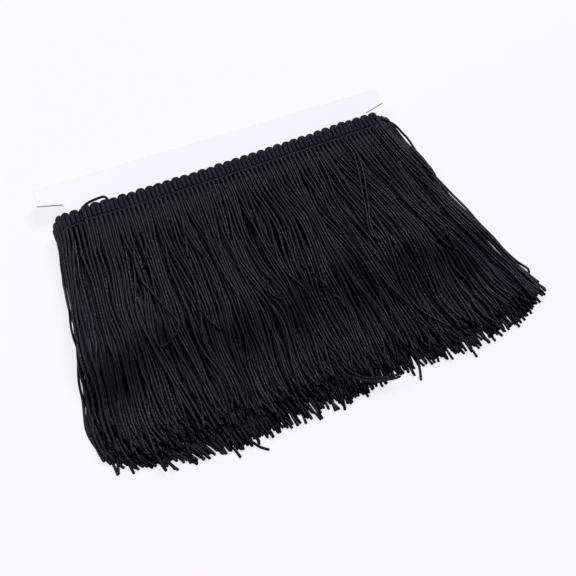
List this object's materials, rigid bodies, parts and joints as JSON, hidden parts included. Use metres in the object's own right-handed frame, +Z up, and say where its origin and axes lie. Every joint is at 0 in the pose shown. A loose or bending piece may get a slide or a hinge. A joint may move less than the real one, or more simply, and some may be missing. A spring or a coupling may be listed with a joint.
{
  "type": "tassel fringe trim wound on a card",
  "caption": "Length of cord fringe trim with a looped, scalloped heading, wound flat on an eared card, its loose cut strands spread forward on a surface.",
  "frame": {"origin": "on the supporting surface, under the middle of the outline of card and fringe together", "axes": "+X along the heading and the card, to the right when seen from the fringe's tips; -Y the way the fringe runs; +Z up"},
  "size_m": [0.241, 0.1796, 0.02],
  "materials": {
    "board": "matt white paperboard with a cool cast and a faint tooth, its cut edges a little greyer",
    "heading_cord": "near-black knitted cord, satin, with a cool tint in the light, laid in close loops",
    "fringe_cord": "near-black knitted chainette cord, satin along each strand, cut ends"
  },
  "bodies": {
    "root": {"card": "board", "heading": "heading_cord", "fringe": "fringe_cord"}
  },
  "joints": []
}
